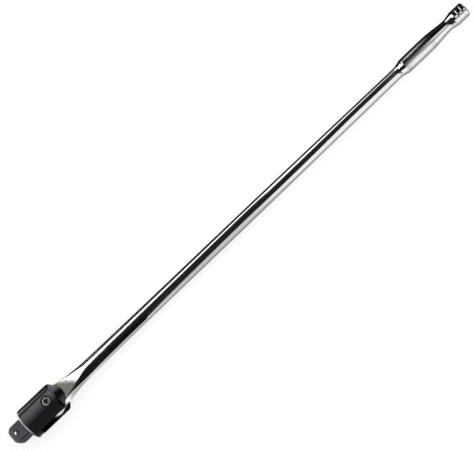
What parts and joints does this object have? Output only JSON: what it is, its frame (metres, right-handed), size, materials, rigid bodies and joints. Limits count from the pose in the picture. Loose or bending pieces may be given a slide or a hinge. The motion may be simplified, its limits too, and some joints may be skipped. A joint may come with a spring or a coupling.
{
  "type": "breaker bar",
  "caption": "Long slim breaker bar with a square drive on a forked head that flexes about a pivot screw, and a short knurled grip ending in a knob.",
  "frame": {"origin": "centre of the flat tip of the square drive", "axes": "+X along the bar from the drive to the knob, +Z along the pivot screw towards its socket head and the drive's spring ball"},
  "size_m": [0.45, 0.0252, 0.0238],
  "materials": {
    "black_steel": "black phosphate over hardened steel, satin",
    "screw_steel": "black oxide worn grey, satin",
    "bright_steel": "ground and polished",
    "spring_steel": "drawn wire",
    "chrome": "polished chrome plate"
  },
  "bodies": {
    "handle": {"handle_bar": "chrome"},
    "head": {"drive_head": "black_steel", "pivot_screw": "screw_steel", "drive_detent_spring": "spring_steel", "friction_plunger": "bright_steel", "friction_spring": "spring_steel"},
    "detent_ball": {"drive_detent_ball": "bright_steel"}
  },
  "joints": [
    {"name": "head_flex", "type": "hinge", "parent": "handle", "child": "head", "pos_m": [0.0374, 0, 0], "axis": [0, 0, 1], "range_deg": [-120, 120]},
    {"name": "detent_press", "type": "slide", "parent": "head", "child": "detent_ball", "axis": [0, 0, -1], "range_m": [0, 0.00085], "stiffness_N_per_m": 3000, "springref_m": -0.001, "deforming": ["drive_detent_spring"]}
  ]
}
